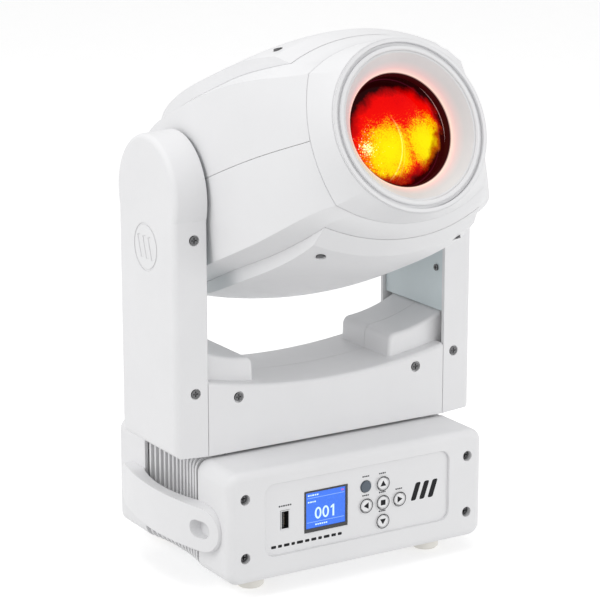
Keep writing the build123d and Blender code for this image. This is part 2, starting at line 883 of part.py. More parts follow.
# ---------------------------------------------------------------- head inside
rod_x = 60.0
rod_v = 30.0
rod_radius = 3.0


def head_frame():
    """Side plates, two cross plates with a light hole, and four guide rods."""
    body = None
    for side in (-1, 1):
        near = min(side * 77, side * 80)
        plate = block(near, near + 3, -95, 80, -38, 38)
        body = plate if body is None else body + plate
    for back, front in ((-45, -42), (90, 93)):
        cross = block(-77, 77, -front, -back, -45, 45)
        cross -= rod("y", 36, -front - 1, -back + 1)
        body += cross
    for x in (-rod_x, rod_x):
        for v in (-rod_v, rod_v):
            body += rod("y", rod_radius, -90, 42, (x, v))
    return body


def tilt_hubs():
    """Shafts on the tilt axis. The left one carries the big belt pulley."""
    right = rod("x", hub_shaft_radius, 80, tilt_pulley_near)
    right += rod("x", hub_boss_radius, 80, 106.4)
    right -= rod("x", 9, 79, 130)
    left = mirrored_x(right)
    left += ring("x", tilt_pulley_radius, 9, -tilt_pulley_far, -tilt_pulley_near)
    for i in range(48):
        notch = Pos(-(tilt_pulley_far + tilt_pulley_near) / 2, 0, tilt_pulley_radius) * Box(5.5, 1.6, 1.4)
        left -= Rot(i * 7.5, 0, 0) * notch
    return [left, right]


def led_engine():
    """Light engine: a square module with a cone of collimating glass ahead of it."""
    body = block(-32, 32, 30, 42, -32, 32)
    cone = Pos(0, 20, 0) * Rot(90, 0, 0) * Cone(30, 14, 20)
    return body + cone


def heatsink():
    body = block(-50, 50, 45, 50, -42, 42)
    for i in range(17):
        x = -48 + i * 6
        body += block(x - 0.8, x + 0.8, 50, 96, -42, 42)
    return body


def cooling_fan():
    """Seven-blade rotor behind the heat sink."""
    body = rod("y", 13, 99, 108)
    blade = Pos(24, 103.5, 0) * Rot(35, 0, 0) * Box(26, 1.4, 9)
    for i in range(7):
        body += Rot(0, i * 360 / 7, 0) * blade
    return body


wheel_holes = 7


def colour_wheel():
    """Filter wheel below the light path."""
    body = rod("y", 40, -2, 0, (0, -28))
    for i in range(wheel_holes):
        turn = math.radians(90 + i * 360 / wheel_holes)
        body -= rod("y", 9, -3, 1, (28 * math.cos(turn), -28 + 28 * math.sin(turn)))
    return body + rod("y", 4, -5, 0, (0, -28))


def gobo_wheel():
    """Pattern wheel above the light path."""
    body = rod("y", 38, -10, -8, (0, 27))
    for i in range(wheel_holes):
        turn = math.radians(-90 + i * 360 / wheel_holes)
        body -= rod("y", 8, -11, -7, (27 * math.cos(turn), 27 + 27 * math.sin(turn)))
    return body + rod("y", 4, -13, -8, (0, 27))


prism_pivot = (42.0, -20.0)


def prism_arm():
    """Swinging arm with a faceted prism, parked below the light path."""
    px, pv = prism_pivot
    centre = (px - 24, pv - 38)
    arm = block(-3, 48, -22, -19, -4, 4)
    angle = math.degrees(math.atan2(centre[1] - pv, centre[0] - px))
    arm = Pos(px, 0, pv) * Rot(0, -angle, 0) * arm
    arm += rod("y", 6, -24, -17, prism_pivot)
    arm -= rod("y", 12, -30, -10, centre)
    arm += ring("y", 14, 11.9, -24, -17, centre)
    arm += rod("y", 11.9, -23, -19, centre)
    return arm


def carriage(low, lens_radius):
    """Plate with a lens, sliding on the four guide rods."""
    plate = block(-67, 67, -low - 6, -low, -37, 37)
    plate -= rod("y", lens_radius, -low - 7, -low + 1)
    for x in (-rod_x, rod_x):
        for v in (-rod_v, rod_v):
            plate -= rod("y", rod_radius + running_gap, -low - 7, -low + 1, (x, v))
    lens = rod("y", lens_radius - 0.05, -low - 5, -low - 1)
    lens = fillet(lens.edges().filter_by(GeomType.CIRCLE), 1.5)
    return [plate, lens]


# ---------------------------------------------------------------- writing the nodes
def write_base():
    save("base_front_cap", base_front_cap())
    save("base_rear_cap", base_rear_cap())
    save("base_tray", base_tray())
    save("base_deck", base_deck())
    grille = side_grille()
    save("side_grille_left", grille)
    save("side_grille_right", mirrored_x(grille))
    grip = handle()
    save("handle_left", grip)
    save("handle_right", mirrored_x(grip))
    save("rubber_feet", rubber_feet())
    save("base_screws", base_screws())
    save("lcd_bezel", lcd_bezel())
    save("lcd_screen", lcd_screen())
    save("usb_port", usb_port())
    for name, place in button_places().items():
        save(f"button_{name}", button(place))
    save("circuit_boards", circuit_boards())
    save("power_sockets", power_sockets())
    save("data_sockets", data_sockets())
    save("power_supply", power_supply())
    save("pan_bearing", pan_bearing())
    save("pan_fixed_pulley", pan_fixed_pulley())


def write_yoke():
    cover = yoke_cover_front()
    save("yoke_cover_front", cover)
    save("yoke_cover_rear", mirrored_y(cover))
    arm = arm_cover()
    save("arm_cover_right", arm)
    save("arm_cover_left", mirrored_x(arm))
    plate = arm_inner_plate()
    save("arm_inner_plates", [plate, mirrored_x(plate)])
    save("yoke_chassis", yoke_chassis())
    save("tilt_bearings", tilt_bearings())
    save("yoke_screws", yoke_screws())
    save("pan_spindle", pan_spindle())
    save("pan_motor", pan_motor())
    save("pan_motor_pinion", pan_motor_pinion())
    save("pan_belt", pan_belt())
    save("tilt_motor", tilt_motor())
    save("tilt_motor_pinion", tilt_motor_pinion())
    save("tilt_belt", tilt_belt())


def write_head():
    solid = head_solid()
    upper = head_shell_upper()
    save("head_shell_upper", upper, head_place)
    save("head_shell_lower", mirror(upper, about=Plane.XY), head_place)
    panel = head_top_panel(solid)
    save("head_top_panel", panel, head_place)
    save("head_bottom_panel", mirror(panel, about=Plane.XY), head_place)
    save("front_collar", front_collar(), head_place)
    save("lens_ring", lens_ring(), head_place)
    save("lens_dish", lens_dish(), head_place)
    save("front_lens", front_lens(), head_place)
    save("head_rear_grille", head_rear_grille(), head_place)
    save("head_screws", head_screws(), head_place)
    save("tilt_hubs", tilt_hubs(), head_place)
    save("head_frame", head_frame(), head_place)
    save("led_engine", led_engine(), head_place)
    save("heatsink", heatsink(), head_place)
    save("cooling_fan", cooling_fan(), head_place)
    save("colour_wheel", colour_wheel(), head_place)
    save("gobo_wheel", gobo_wheel(), head_place)
    save("prism_arm", prism_arm(), head_place)
    save("zoom_carriage", carriage(40, 28), head_place)
    save("focus_carriage", carriage(72, 30), head_place)


os.makedirs("parts", exist_ok=True)
write_base()
write_yoke()
write_head()
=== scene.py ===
import bpy
import bmesh
import json
import math
from mathutils import Matrix, Vector


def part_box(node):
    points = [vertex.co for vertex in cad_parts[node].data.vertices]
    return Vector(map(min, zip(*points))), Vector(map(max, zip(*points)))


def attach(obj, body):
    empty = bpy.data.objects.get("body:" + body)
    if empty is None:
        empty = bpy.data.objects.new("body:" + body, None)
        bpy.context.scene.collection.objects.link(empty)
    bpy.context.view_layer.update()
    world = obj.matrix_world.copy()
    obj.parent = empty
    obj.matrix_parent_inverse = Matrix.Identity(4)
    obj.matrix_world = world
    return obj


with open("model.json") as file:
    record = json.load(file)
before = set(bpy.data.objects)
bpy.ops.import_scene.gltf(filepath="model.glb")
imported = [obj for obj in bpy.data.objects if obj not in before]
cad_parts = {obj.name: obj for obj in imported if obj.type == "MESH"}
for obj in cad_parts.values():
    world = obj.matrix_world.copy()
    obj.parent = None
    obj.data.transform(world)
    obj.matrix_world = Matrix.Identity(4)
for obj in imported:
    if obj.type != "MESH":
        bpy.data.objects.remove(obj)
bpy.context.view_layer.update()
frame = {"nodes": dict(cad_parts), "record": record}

MM = 0.001
PITCH = math.radians(22.6)                  # the head's tilt at rest
HEAD_CENTRE = Vector((0.0, 0.0, 0.2923))    # where the lens axis crosses the tilt axis
ACROSS = Vector((1.0, 0.0, 0.0))            # the head's own sideways direction
UP = Vector((0.0, math.sin(PITCH), math.cos(PITCH)))    # and its own upward one
BLACK = (0, 0, 0)
WHITE = (1, 1, 1)


# ---------------------------------------------------------------- materials

NOISE_LOW, NOISE_HIGH = 0.3, 0.7            # the range that noise mostly stays in
DRIFT_SCALE = 22                            # slow colour drift, features per metre
SCREEN_GRAIN = 400                          # unevenness of a lit screen, per metre


def shader(name):
    """A new node material, its tree and its main shader."""
    material = bpy.data.materials.new(name)
    material.use_nodes = True
    tree = material.node_tree
    return material, tree, tree.nodes["Principled BSDF"]


def feed(tree, socket, value):
    """Links another node's output to the socket, or sets a constant on it."""
    if isinstance(value, bpy.types.NodeSocket):
        tree.links.new(value, socket)
    else:
        socket.default_value = value


def math_node(tree, operation, *values, clamp=False):
    """One step of arithmetic."""
    node = tree.nodes.new("ShaderNodeMath")
    node.operation = operation
    node.use_clamp = clamp
    for socket, value in zip(node.inputs, values):
        feed(tree, socket, value)
    return node.outputs[0]


def vector_node(tree, operation, *values):
    """One step of vector arithmetic."""
    node = tree.nodes.new("ShaderNodeVectorMath")
    node.operation = operation
    for socket, value in zip(node.inputs, values):
        feed(tree, socket, value)
    gives_number = operation in {"DOT_PRODUCT", "DISTANCE", "LENGTH"}
    return node.outputs["Value" if gives_number else "Vector"]


def mix(tree, kind, a, b, factor=1.0):
    """Two colours combined."""
    node = tree.nodes.new("ShaderNodeMix")
    node.data_type = "RGBA"
    node.blend_type = kind
    feed(tree, node.inputs["Factor"], factor)
    tree.links.new(a, node.inputs["A"])
    tree.links.new(b, node.inputs["B"])
    return node.outputs["Result"]


def place(tree):
    """Object coordinates in metres; they stay with the piece."""
    return tree.nodes.new("ShaderNodeTexCoord").outputs["Object"]


def noise(tree, vector, scale, detail=2.0, rough=0.55):
    node = tree.nodes.new("ShaderNodeTexNoise")
    node.inputs["Scale"].default_value = scale
    node.inputs["Detail"].default_value = detail
    node.inputs["Roughness"].default_value = rough
    tree.links.new(vector, node.inputs["Vector"])
    return node.outputs["Fac"]


def ramp(tree, factor, stops):
    """A colour for each value of factor, from (position, colour) stops."""
    node = tree.nodes.new("ShaderNodeValToRGB")
    elements = node.color_ramp.elements
    while len(elements) < len(stops):
        elements.new(0.5)
    for element, (position, colour) in zip(elements, stops):
        element.position = position
        element.color = (*colour, 1.0)
    tree.links.new(factor, node.inputs["Fac"])
    return node.outputs["Color"]


def spread(tree, factor, low, high):
    """Noise stretched to run from low to high."""
    node = tree.nodes.new("ShaderNodeMapRange")
    node.inputs["From Min"].default_value = NOISE_LOW
    node.inputs["From Max"].default_value = NOISE_HIGH
    node.inputs["To Min"].default_value = low
    node.inputs["To Max"].default_value = high
    tree.links.new(factor, node.inputs["Value"])
    return node.outputs["Result"]


def bump(tree, height, strength, distance, soften=0.0):
    """A normal with a fine relief; soften is the radius that rounds the edges."""
    node = tree.nodes.new("ShaderNodeBump")
    node.inputs["Strength"].default_value = strength
    node.inputs["Distance"].default_value = distance
    tree.links.new(height, node.inputs["Height"])
    if soften:
        bevel = tree.nodes.new("ShaderNodeBevel")
        bevel.samples = 4
        bevel.inputs["Radius"].default_value = soften
        tree.links.new(bevel.outputs["Normal"], node.inputs["Normal"])
    return node.outputs["Normal"]


def surface(name, colour, rough, metallic=0.0, tone=0.03, grain=1200, depth=0.00002,
            coat=0.0, soften=0.0, specular=0.5, brushed=None):
    """A varied surface: slow colour drift, uneven gloss and a fine grain."""
    material, tree, main = shader(name)
    here = place(tree)
    slow = noise(tree, here, DRIFT_SCALE, 4.0)
    dark = tuple(c * (1 - tone) for c in colour)
    light = tuple(min(1.0, c * (1 + tone)) for c in colour)
    tree.links.new(ramp(tree, slow, [(0.32, dark), (0.68, light)]), main.inputs["Base Color"])
    medium = noise(tree, here, DRIFT_SCALE * 7, 3.0)
    tree.links.new(spread(tree, medium, rough * 0.86, rough * 1.14), main.inputs["Roughness"])
    fine_place = here
    if brushed:
        stretch = tree.nodes.new("ShaderNodeMapping")
        stretch.inputs["Scale"].default_value = brushed
        tree.links.new(here, stretch.inputs["Vector"])
        fine_place = stretch.outputs["Vector"]
    fine = noise(tree, fine_place, grain, 3.0)
    tree.links.new(bump(tree, fine, 0.5, depth, soften), main.inputs["Normal"])
    main.inputs["Metallic"].default_value = metallic
    main.inputs["Specular IOR Level"].default_value = specular
    main.inputs["Coat Weight"].default_value = coat
    main.inputs["Coat Roughness"].default_value = 0.12
    return material


def screw_metal():
    """Dull steel, with painted shade: its colour is darkened in the recesses of the screw heads."""
    material = surface("screw_steel_with_painted_shade", (0.15, 0.15, 0.155), 0.38, 0.5, tone=0.15, grain=2500)
    tree = material.node_tree
    main = tree.nodes["Principled BSDF"]
    steel = main.inputs["Base Color"].links[0].from_socket
    # painted shade: ambient occlusion darkens the steel's colour in the screw recesses
    recess_shade_ao = tree.nodes.new("ShaderNodeAmbientOcclusion")
    recess_shade_ao.samples = 8
    recess_shade_ao.inputs["Distance"].default_value = 3 * MM
    depth = ramp(tree, recess_shade_ao.outputs["AO"], [(0.40, (0.03, 0.03, 0.03)), (0.90, WHITE)])
    tree.links.new(mix(tree, "MULTIPLY", steel, depth), main.inputs["Base Color"])
    return material


def glowing(name, colour, strength, tone=0.08):
    """A lit surface with a slight unevenness, for the display."""
    material, tree, main = shader(name)
    slow = noise(tree, place(tree), SCREEN_GRAIN, 2.0)
    dark = tuple(c * (1 - tone) for c in colour)
    drift = ramp(tree, slow, [(NOISE_LOW, dark), (NOISE_HIGH, colour)])
    tree.links.new(drift, main.inputs["Base Color"])
    tree.links.new(drift, main.inputs["Emission Color"])
    tree.links.new(spread(tree, slow, 0.2, 0.3), main.inputs["Roughness"])
    tree.links.new(bump(tree, slow, 0.1, 0.00001), main.inputs["Normal"])
    main.inputs["Emission Strength"].default_value = strength
    return material


def head_plane(tree):
    """Here, and its sideways and upward distance from the lens axis in millimetres."""
    here = place(tree)
    off = vector_node(tree, "SUBTRACT", here, HEAD_CENTRE)
    joined = tree.nodes.new("ShaderNodeCombineXYZ")
    for name, direction in (("X", ACROSS), ("Y", UP)):
        metres = vector_node(tree, "DOT_PRODUCT", off, direction)
        tree.links.new(math_node(tree, "MULTIPLY", metres, 1 / MM), joined.inputs[name])
    return here, joined.outputs["Vector"]


def dish_material():
    """Grey-white dish, dark in the lens opening, with painted red stray light round it: a reddish
    tint in its colour and a faint glow.
    """
    material, tree, main = shader("dish_paint_and_painted_glow")
    here, flat = head_plane(tree)
    # radii from here on are shares of 100 mm
    radius = math_node(tree, "DIVIDE", vector_node(tree, "LENGTH", flat), 100.0)
    opening, rim = 0.412, 0.416
    drift = noise(tree, here, 30, 3.0)
    paint = ramp(tree, drift, [(NOISE_LOW, (0.70, 0.70, 0.71)), (NOISE_HIGH, (0.75, 0.75, 0.755))])
    # painted light: the colour turns reddish near the rim, for red stray light from the lens
    painted_red_glow_and_dark_opening = ramp(tree, radius, [
        (opening, (0.02, 0.002, 0.003)), (rim, (0.90, 0.74, 0.70)),
        (0.44, (0.84, 0.70, 0.69)), (0.49, (0.72, 0.72, 0.73))])
    near = ramp(tree, radius, [(0.435, WHITE), (0.49, BLACK)])
    tree.links.new(mix(tree, "MIX", paint, painted_red_glow_and_dark_opening, near), main.inputs["Base Color"])
    # painted light: a faint red glow near the rim, though the dish is no lamp
    stray_light = ramp(tree, radius, [
        (opening, (0.02, 0.001, 0.001)), (rim, (0.40, 0.24, 0.17)),
        (0.425, (0.24, 0.11, 0.08)), (0.44, (0.12, 0.03, 0.03)), (0.48, BLACK)])
    tree.links.new(stray_light, main.inputs["Emission Color"])
    main.inputs["Emission Strength"].default_value = 1.0
    sheen = ramp(tree, radius, [(opening, (0.02, 0.02, 0.02)), (rim, (0.5, 0.5, 0.5))])
    tree.links.new(sheen, main.inputs["Specular IOR Level"])
    tree.links.new(spread(tree, drift, 0.38, 0.5), main.inputs["Roughness"])
    grain = noise(tree, here, 1500, 2.0)
    tree.links.new(bump(tree, grain, 0.5, 0.00002), main.inputs["Normal"])
    return material


def lens_material():
    """Coated lens with painted light: a glowing picture of the lit optics behind it, though the
    lens is no lamp.
    """
    material, tree, main = shader("lens_painted_light")
    here, flat = head_plane(tree)
    cloud = noise(tree, here, 110, 5.0, 0.65)
    sand = noise(tree, here, 900, 3.0, 0.8)

    def from_point(x, y, size):
        """Distance from a point on the lens in millimetres, over size."""
        return math_node(tree, "DIVIDE", vector_node(tree, "DISTANCE", flat, (x, y, 0)), size)

    def thin_ring(x, y, radius, width, colour):
        reach = 4.0
        off = math_node(tree, "SUBTRACT", from_point(x, y, 1.0), radius)
        share = math_node(tree, "DIVIDE", math_node(tree, "ABSOLUTE", off), reach)
        return ramp(tree, share, [(0.0, colour), (width / reach, BLACK)])

    # painted glow: two yellow lobes with a sandy edge, on red
    left_lobe = from_point(-8, -13, 20)
    right_lobe = from_point(25, -9, 18)
    field = math_node(tree, "SMOOTH_MIN", left_lobe, right_lobe, 0.15)
    field = math_node(tree, "ADD", field, math_node(tree, "MULTIPLY_ADD", cloud, 0.9, -0.45))
    field = math_node(tree, "ADD", field, math_node(tree, "MULTIPLY_ADD", sand, 1.6, -0.8))
    tones = ramp(tree, math_node(tree, "DIVIDE", field, 2.5, clamp=True), [
        (0.10, (1.0, 0.88, 0.0)), (0.28, (1.0, 0.72, 0.0)), (0.38, (1.0, 0.26, 0.0)),
        (0.47, (0.95, 0.003, 0.0)), (0.80, (0.85, 0.0, 0.0)), (1.0, (0.60, 0.0, 0.0))])

    # black along the upper edge and along the lower right
    above = math_node(tree, "MULTIPLY_ADD", cloud, 0.22, from_point(5, -12, 53.5))
    above = ramp(tree, above, [
        (0.82, WHITE), (0.91, (0.45, 0.25, 0.25)), (0.985, (0.02, 0.004, 0.004))])
    below = math_node(tree, "MULTIPLY_ADD", cloud, 0.22, from_point(-5, 12, 57))
    below = ramp(tree, below, [
        (0.82, WHITE), (0.90, (0.50, 0.12, 0.10)), (0.975, (0.03, 0.0, 0.004))])
    picture = mix(tree, "MULTIPLY", mix(tree, "MULTIPLY", tones, above), below)

    # painted reflections: thin curved ones, the strong ones only in the lower half
    arcs = mix(tree, "ADD", thin_ring(-31, -6, 34, 0.7, (0.40, 0.34, 0.16)),
               thin_ring(-33, -9, 37.5, 0.5, (0.20, 0.14, 0.05)))
    lower = ramp(tree, from_point(-2, -12, 40), [(0.35, WHITE), (0.62, BLACK)])
    picture = mix(tree, "ADD", picture, mix(tree, "MULTIPLY", arcs, lower))
    faint = thin_ring(-1, 0, 39.5, 0.7, (0.045, 0.004, 0.012))
    picture = mix(tree, "ADD", picture, faint)

    # painted glints: a few bright sparks round a grainy flare of painted light
    dots = tree.nodes.new("ShaderNodeTexVoronoi")
    dots.inputs["Scale"].default_value = 520
    tree.links.new(here, dots.inputs["Vector"])
    zone = math_node(tree, "MULTIPLY_ADD", from_point(-25, -9, 12), 0.20, dots.outputs["Distance"])
    zone = math_node(tree, "MULTIPLY_ADD", cloud, 0.9, math_node(tree, "SUBTRACT", zone, 0.45))
    painted_glints = ramp(tree, zone, [(0.18, (1.0, 1.0, 0.85)), (0.36, BLACK)])
    picture = mix(tree, "ADD", picture, painted_glints)
    flare = math_node(tree, "MULTIPLY_ADD", sand, 3.6, from_point(-25, -10, 7))
    flare = ramp(tree, math_node(tree, "SUBTRACT", flare, 1.8), [
        (0.10, (0.8, 0.8, 0.5)), (0.55, BLACK)])
    picture = mix(tree, "ADD", picture, flare)

    tree.links.new(picture, main.inputs["Emission Color"])
    main.inputs["Emission Strength"].default_value = 1.0
    glass = ramp(tree, cloud, [
        (NOISE_LOW, (0.002, 0.0005, 0.001)), (NOISE_HIGH, (0.006, 0.001, 0.002))])
    tree.links.new(glass, main.inputs["Base Color"])
    tree.links.new(spread(tree, cloud, 0.03, 0.07), main.inputs["Roughness"])
    tree.links.new(bump(tree, cloud, 0.05, 0.00002), main.inputs["Normal"])
    main.inputs["Specular IOR Level"].default_value = 0.045
    return material


finishes = {
    "white_shell": surface("shell_white", (0.79, 0.79, 0.80), 0.42, tone=0.012,
                           depth=0.000012, soften=0.0007),
    "dish_grey": dish_material(),
    "painted_steel": surface("painted_steel", (0.74, 0.75, 0.76), 0.45, soften=0.0003),
    "arm_plate": surface("plate_paint", (0.68, 0.76, 0.78), 0.4),
    "foot_rubber": surface("foot_rubber", (0.80, 0.78, 0.73), 0.75, tone=0.05, grain=700,
                           depth=0.00006),
    "dark_screw": screw_metal(),
    "lcd_black": surface("display_black", (0.006, 0.006, 0.008), 0.16, tone=0.2,
                         depth=0.000004, coat=0.6),
    "lcd_blue": glowing("display_blue", (0.025, 0.115, 0.56), 0.85),
    "socket_metal": surface("tinned_metal", (0.62, 0.62, 0.63), 0.3, 1.0, tone=0.08,
                            brushed=(0.1, 1, 1)),
    "button_white": surface("button_white", (0.84, 0.84, 0.85), 0.4, tone=0.02, depth=0.00001),
    "button_grey": surface("button_grey", (0.085, 0.105, 0.13), 0.35, tone=0.1, depth=0.00001),
    "board_green": surface("board_green", (0.02, 0.15, 0.06), 0.35, tone=0.15, grain=500,
                           coat=0.3),
    "socket_black": surface("moulded_black", (0.018, 0.018, 0.02), 0.42, tone=0.15,
                            depth=0.00003),
    "bearing_steel": surface("ground_steel", (0.60, 0.60, 0.62), 0.26, 1.0, tone=0.08,
                             brushed=(1, 1, 0.05)),
    "machined_aluminium": surface("turned_aluminium", (0.78, 0.79, 0.80), 0.3, 1.0, tone=0.06,
                                  brushed=(1, 0.06, 1)),
    "motor_black": surface("motor_black", (0.02, 0.02, 0.022), 0.45, 0.2, tone=0.15,
                           depth=0.00004),
    "belt_rubber": surface("belt_rubber", (0.012, 0.012, 0.012), 0.8, tone=0.2, grain=900,
                           depth=0.00008),
    "lens_glass": lens_material(),
    "wheel_dark": surface("wheel_black", (0.03, 0.03, 0.034), 0.35, 0.7, tone=0.15),
    "carriage_black": surface("carriage_black", (0.02, 0.02, 0.02), 0.5, 0.3, tone=0.15),
}
for row in frame["record"]["subparts"]:
    holder = frame["nodes"][row["node"]]
    finish = finishes[row["material_slot"]]
    for slot in holder.material_slots:
        slot.material = finish
    if not holder.material_slots:
        holder.data.materials.append(finish)

ink_black = surface("ink_black", (0.010, 0.010, 0.012), 0.45, tone=0.15, specular=0.2)
ink_grey = surface("ink_grey", (0.05, 0.05, 0.055), 0.5, tone=0.1, specular=0.2)
screen_white = glowing("screen_white", (0.42, 0.56, 0.64), 0.95, tone=0.03)
screen_pale = glowing("screen_pale", (0.20, 0.34, 0.62), 0.9, tone=0.05)
screen_pink = glowing("screen_pink", (0.35, 0.08, 0.40), 0.8)
brass = surface("contact_brass", (0.80, 0.55, 0.22), 0.3, 1.0, tone=0.1, brushed=(1, 0.1, 1))


# ------------------------------------------------------- mesh-building tools
# Plans are in millimetres, x to the right and z up, facing -Y; depths along Y are in metres.

PANEL_INK = 0.00006         # thickness of the print on the panel
SCREEN_INK = 0.00004        # thickness of the display's picture
SIGN_INK = 0.0001           # thickness of the signs on the keys


def finished(name, builder, material, body):
    """One object from a bmesh, with its material and body."""
    mesh = bpy.data.meshes.new(name)
    builder.normal_update()
    builder.to_mesh(mesh)
    builder.free()
    piece = bpy.data.objects.new(name, mesh)
    bpy.context.scene.collection.objects.link(piece)
    mesh.materials.append(material)
    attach(piece, body)
    return piece


def band(builder, a, b):
    """Faces between two closed loops with the same number of points."""
    count = len(a)
    for i in range(count):
        j = (i + 1) % count
        builder.faces.new((a[i], a[j], b[j], b[i]))


def plate(builder, outline, front, thick):
    """A thin raised print with a closed outline, its face at y = front."""
    face = [builder.verts.new((x * MM, front, z * MM)) for x, z in outline]
    back = [builder.verts.new((x * MM, front + thick, z * MM)) for x, z in outline]
    builder.faces.new(face)
    builder.faces.new(list(reversed(back)))
    band(builder, back, face)


def bar(builder, x, z, width, height, front, thick=PANEL_INK, slant=0.0, corner=0.28):
    """A bar with rounded ends, centred on x, z; slant moves its top sideways."""
    radius = min(width, height) * corner
    outline = []
    for corner_x, corner_z, start in ((1, -1, -90), (1, 1, 0), (-1, 1, 90), (-1, -1, 180)):
        centre_x = corner_x * (width / 2 - radius)
        centre_z = corner_z * (height / 2 - radius)
        for step in range(4):
            turn = math.radians(start + step * 30)
            dx = centre_x + radius * math.cos(turn)
            dz = centre_z + radius * math.sin(turn)
            outline.append((x + dx + slant * dz, z + dz))
    plate(builder, outline, front, thick)


def hoop(builder, x, z, outer, inner, front, thick, steps):
    """A thin raised oval ring; outer and inner are its half widths and half heights."""
    back = front + thick
    loops = []
    for (wide, tall), y in ((outer, front), (inner, front), (inner, back), (outer, back)):
        turns = [math.tau * i / steps for i in range(steps)]
        loops.append([builder.verts.new(((x + wide * math.cos(turn)) * MM, y,
                                         (z + tall * math.sin(turn)) * MM)) for turn in turns])
    for a, b in zip(loops, loops[1:] + loops[:1]):
        band(builder, a, b)


def arrow(x, z, size, turn):
    """A triangle with its tip turned from upright by turn degrees."""
    a = math.radians(turn)
    points = [(0, size), (-size * 1.05, -size * 0.75), (size * 1.05, -size * 0.75)]
    return [(x + px * math.cos(a) - pz * math.sin(a), z + px * math.sin(a) + pz * math.cos(a))
            for px, pz in points]


def small_block(builder, x0, x1, y0, y1, z0, z1, edge):
    """A block with softened edges, in metres."""
    centre = ((x0 + x1) / 2, (y0 + y1) / 2, (z0 + z1) / 2)
    size = Matrix.Diagonal((x1 - x0, y1 - y0, z1 - z0, 1))
    made = bmesh.ops.create_cube(builder, size=1.0, matrix=Matrix.Translation(centre) @ size)
    edges = {e for v in made["verts"] for e in v.link_edges}
    bmesh.ops.bevel(builder, geom=list(edges), offset=edge, segments=2, affect="EDGES")


def key_place(key):
    """A key's middle and radius in millimetres, and its front face in metres."""
    low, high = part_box("button_" + key)
    return (low.x + high.x) / 2 / MM, (low.z + high.z) / 2 / MM, (high.x - low.x) / 2 / MM, low.y


# ------------------------------------------------------------------ the keys

ARROW_TURNS = {"up": 0, "left": 90, "down": 180, "right": 270}
SIGN_RISE = 0.00005         # how far a sign stands proud of its key
RING_RISE = 0.00003         # and the printed ring round it


def key_sign(key, draw):
    """The sign that draw makes on a key, with a printed ring round it."""
    x, z, radius, front = key_place(key)
    sign = bmesh.new()
    draw(sign, x, z, front - SIGN_RISE)
    outer, inner = radius - 0.03, radius - 0.62
    hoop(sign, x, z, (outer, outer), (inner, inner), front - RING_RISE, PANEL_INK, 48)
    finished("sign_" + key, sign, ink_black, "key_" + key)


for key, turn in ARROW_TURNS.items():
    key_sign(key, lambda sign, x, z, front: plate(sign, arrow(x, z, 2.5, turn), front, SIGN_INK))
key_sign("enter", lambda sign, x, z, front: bar(sign, x, z, 4.2, 4.2, front, SIGN_INK, corner=0.08))


# ----------------------------------------------------- printing on the panel

PANEL_Y = -0.0855 - PANEL_INK       # front of the print in the panel's recess

# small bars in place of words, over each key and over the socket
port_low, port_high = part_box("usb_port")
port_x, port_z = (port_low.x + port_high.x) / 2, (port_low.z + port_high.z) / 2
labels = bmesh.new()
for key in ("mode", "up", "left", "enter", "right", "down"):
    x, z, radius, front = key_place(key)
    for index, width in enumerate((1.3, 1.1, 1.4, 1.1)):
        bar(labels, x - 2.4 + index * 1.6, z + radius + 2.2, width, 1.1, PANEL_Y)
for index, width in enumerate((1.5, 1.2, 1.6, 1.2, 1.5, 1.3)):
    bar(labels, port_x / MM - 4.6 + index * 1.9, 67.2, width, 1.2, PANEL_Y)
finished("panel_labels", labels, ink_grey, "base")

# plain dashes along the foot of the panel
DASH_GAP = 1.7
dashes = bmesh.new()
start = -76.0
for width in (4.2, 3.4, 4.8, 3.0, 5.4, 3.8, 4.4, 3.2, 5.0, 4.0, 3.4):
    bar(dashes, start + width / 2, 36.3, width, 2.2, PANEL_Y)
    start += width + DASH_GAP
finished("panel_dashes", dashes, ink_black, "base")

# a mark of three slanted bars
mark = bmesh.new()
for index in range(3):
    bar(mark, 52.5 + index * 7.8, 57.3, 4.6, 14.0, PANEL_Y, slant=0.34)
finished("panel_mark", mark, ink_black, "base")


# --------------------------------------------------- the display's picture

screen_low, screen_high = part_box("lcd_screen")
SCREEN_Y = screen_low.y - SCREEN_INK
left, right = screen_low.x / MM, screen_high.x / MM
foot, top = screen_low.z / MM, screen_high.z / MM
middle = (left + right) / 2

DIGIT_PITCH = 6.6
digits = bmesh.new()
digit_z = (foot + top) / 2 - 2.8
for x in (middle - DIGIT_PITCH, middle):
    hoop(digits, x, digit_z, (2.9, 4.6), (1.5, 3.2), SCREEN_Y, SCREEN_INK, 32)
one = ((-0.6, -4.6), (0.9, -4.6), (0.9, 4.6), (-0.2, 4.6), (-2.2, 3.1), (-2.2, 1.7), (-0.6, 2.7))
plate(digits, [(middle + DIGIT_PITCH + x, digit_z + z) for x, z in one], SCREEN_Y, SCREEN_INK)
finished("screen_digits", digits, screen_white, "base")

ROW_GAP = 0.5
rows = bmesh.new()
for z, start, widths in ((top - 2.2, left + 1.6, (1.6, 1.1, 1.8, 1.2, 1.5)),
                         (top - 7.4, left + 1.6, (1.4, 1.6, 1.0, 1.5)),
                         (foot + 2.4, left + 8.0, (1.5, 1.2, 1.7, 1.1, 1.4, 1.2))):
    for width in widths:
        bar(rows, start + width / 2, z, width, 1.1, SCREEN_Y, SCREEN_INK)
        start += width + ROW_GAP
finished("screen_rows", rows, screen_white, "base")

rules = bmesh.new()
for z in (top - 4.3, foot + 4.6):
    bar(rules, middle, z, right - left - 1.6, 0.35, SCREEN_Y, SCREEN_INK)
finished("screen_rules", rules, screen_pale, "base")

flag = bmesh.new()
bar(flag, right - 2.4, top - 2.2, 2.4, 1.3, SCREEN_Y, SCREEN_INK)
finished("screen_flag", flag, screen_pink, "base")


# ------------------------------------------------------ inside the USB socket

LINING_WALL = 0.00015
SHELL_WALL = 0.00063        # the metal shell, with a little clearance
half_x = (port_high.x - port_low.x) / 2 - SHELL_WALL
half_z = (port_high.z - port_low.z) / 2 - SHELL_WALL
mouth, depth = port_low.y + 0.0003, port_low.y + 0.0065

